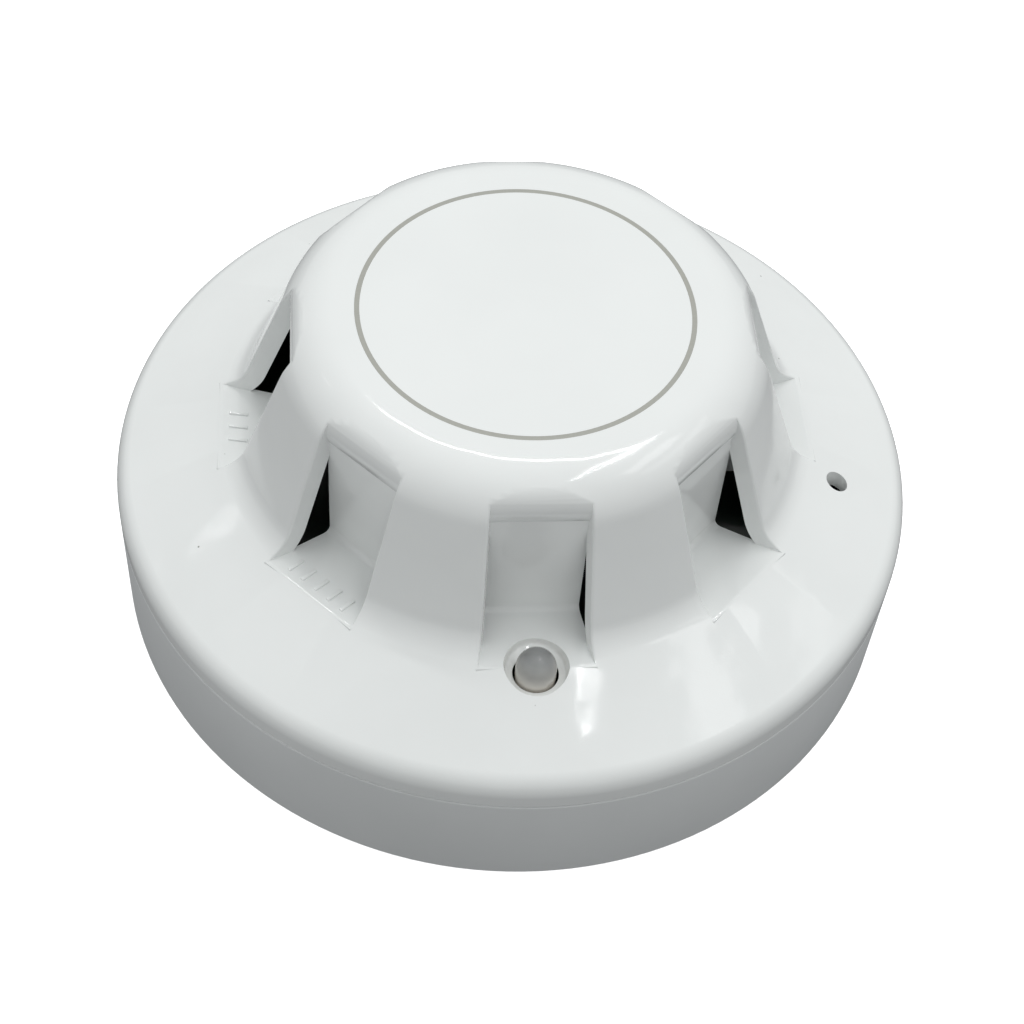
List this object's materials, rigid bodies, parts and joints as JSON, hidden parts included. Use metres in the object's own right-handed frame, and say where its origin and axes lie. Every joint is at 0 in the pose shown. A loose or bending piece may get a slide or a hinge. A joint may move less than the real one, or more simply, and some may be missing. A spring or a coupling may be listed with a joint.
{
  "type": "heat detector",
  "caption": "Round ceiling heat detector: a recessed-dome plug-in head with an indicator light, twisted onto a deep mounting base with screw terminals.",
  "frame": {"origin": "centre of the base's ceiling face, at the bottom of the bounding box", "axes": "+Z out of the detector's face along its turning axis, -Y towards the indicator light, +X to the right of it"},
  "size_m": [0.1, 0.1, 0.0451],
  "materials": {
    "housing_white": "glossy white injection-moulded polycarbonate",
    "base_white": "satin white injection-moulded ABS",
    "ring_grey": "grey inlaid ring",
    "clear_lens": "clear cast epoxy lens",
    "cage_black": "black moulded ABS",
    "chassis_black": "black moulded ABS",
    "screen_gauze": "fine dark woven gauze",
    "glass_bead": "glass-coated thermistor bead",
    "board_green": "green solder mask on fibreglass board",
    "chip_black": "moulded epoxy package",
    "capacitor_sleeve": "shrink sleeve on an aluminium can",
    "brass": "nickel-plated brass",
    "steel": "zinc-plated steel"
  },
  "bodies": {
    "base": {"base_body": "base_white", "terminal_strip_1": "brass", "terminal_strip_2": "brass", "terminal_strip_3": "brass", "terminal_strip_4": "brass"},
    "head": {"outer_cover": "housing_white", "face_ring": "ring_grey", "indicator_led": "clear_lens", "sensor_cage": "cage_black", "insect_screen": "screen_gauze", "thermistor_1": "glass_bead", "thermistor_2": "glass_bead", "circuit_board": "board_green", "microcontroller": "chip_black", "bridge_rectifier": "chip_black", "line_transistor": "chip_black", "supply_capacitor": "capacitor_sleeve", "head_chassis": "chassis_black", "contact_blade_1": "brass", "contact_blade_2": "brass", "contact_blade_3": "brass", "contact_blade_4": "brass", "chassis_screw_1": "steel", "chassis_screw_2": "steel", "chassis_screw_3": "steel", "board_screw_1": "steel", "board_screw_2": "steel", "board_screw_3": "steel", "lock_sleeve": "brass"},
    "lock_screw": {"lock_screw": "steel"},
    "clamp_1": {"clamp_plate_1": "steel"},
    "terminal_screw_1": {"terminal_screw_1": "steel"},
    "clamp_2": {"clamp_plate_2": "steel"},
    "terminal_screw_2": {"terminal_screw_2": "steel"},
    "clamp_3": {"clamp_plate_3": "steel"},
    "terminal_screw_3": {"terminal_screw_3": "steel"},
    "clamp_4": {"clamp_plate_4": "steel"},
    "terminal_screw_4": {"terminal_screw_4": "steel"}
  },
  "joints": [
    {"name": "head_twist", "type": "hinge", "parent": "base", "child": "head", "pos_m": [0, 0, 0], "axis": [0, 0, 1], "range_deg": [0, 20]},
    {"name": "lock_screw_turn", "type": "hinge", "parent": "head", "child": "lock_screw", "pos_m": [0.03958, -0.00928, 0], "axis": [0, 0, 1], "range_deg": [-1800, 0]},
    {"name": "clamp_1_lift", "type": "slide", "parent": "base", "child": "clamp_1", "axis": [0, 0, 1], "range_m": [0, 0.0012]},
    {"name": "terminal_screw_1_turn", "type": "hinge", "parent": "clamp_1", "child": "terminal_screw_1", "pos_m": [0.02121, -0.02121, 0], "axis": [0, 0, 1], "range_deg": [0, 720]},
    {"name": "clamp_2_lift", "type": "slide", "parent": "base", "child": "clamp_2", "axis": [0, 0, 1], "range_m": [0, 0.0012]},
    {"name": "terminal_screw_2_turn", "type": "hinge", "parent": "clamp_2", "child": "terminal_screw_2", "pos_m": [0.02121, 0.02121, 0], "axis": [0, 0, 1], "range_deg": [0, 720]},
    {"name": "clamp_3_lift", "type": "slide", "parent": "base", "child": "clamp_3", "axis": [0, 0, 1], "range_m": [0, 0.0012]},
    {"name": "terminal_screw_3_turn", "type": "hinge", "parent": "clamp_3", "child": "terminal_screw_3", "pos_m": [-0.02121, 0.02121, 0], "axis": [0, 0, 1], "range_deg": [0, 720]},
    {"name": "clamp_4_lift", "type": "slide", "parent": "base", "child": "clamp_4", "axis": [0, 0, 1], "range_m": [0, 0.0012]},
    {"name": "terminal_screw_4_turn", "type": "hinge", "parent": "clamp_4", "child": "terminal_screw_4", "pos_m": [-0.02121, -0.02121, 0], "axis": [0, 0, 1], "range_deg": [0, 720]}
  ],
  "couplings": [
    {"joint": "terminal_screw_1_turn", "follows": "clamp_1_lift", "rad_per_m": 10472},
    {"joint": "terminal_screw_2_turn", "follows": "clamp_2_lift", "rad_per_m": 10472},
    {"joint": "terminal_screw_3_turn", "follows": "clamp_3_lift", "rad_per_m": 10472},
    {"joint": "terminal_screw_4_turn", "follows": "clamp_4_lift", "rad_per_m": 10472}
  ]
}
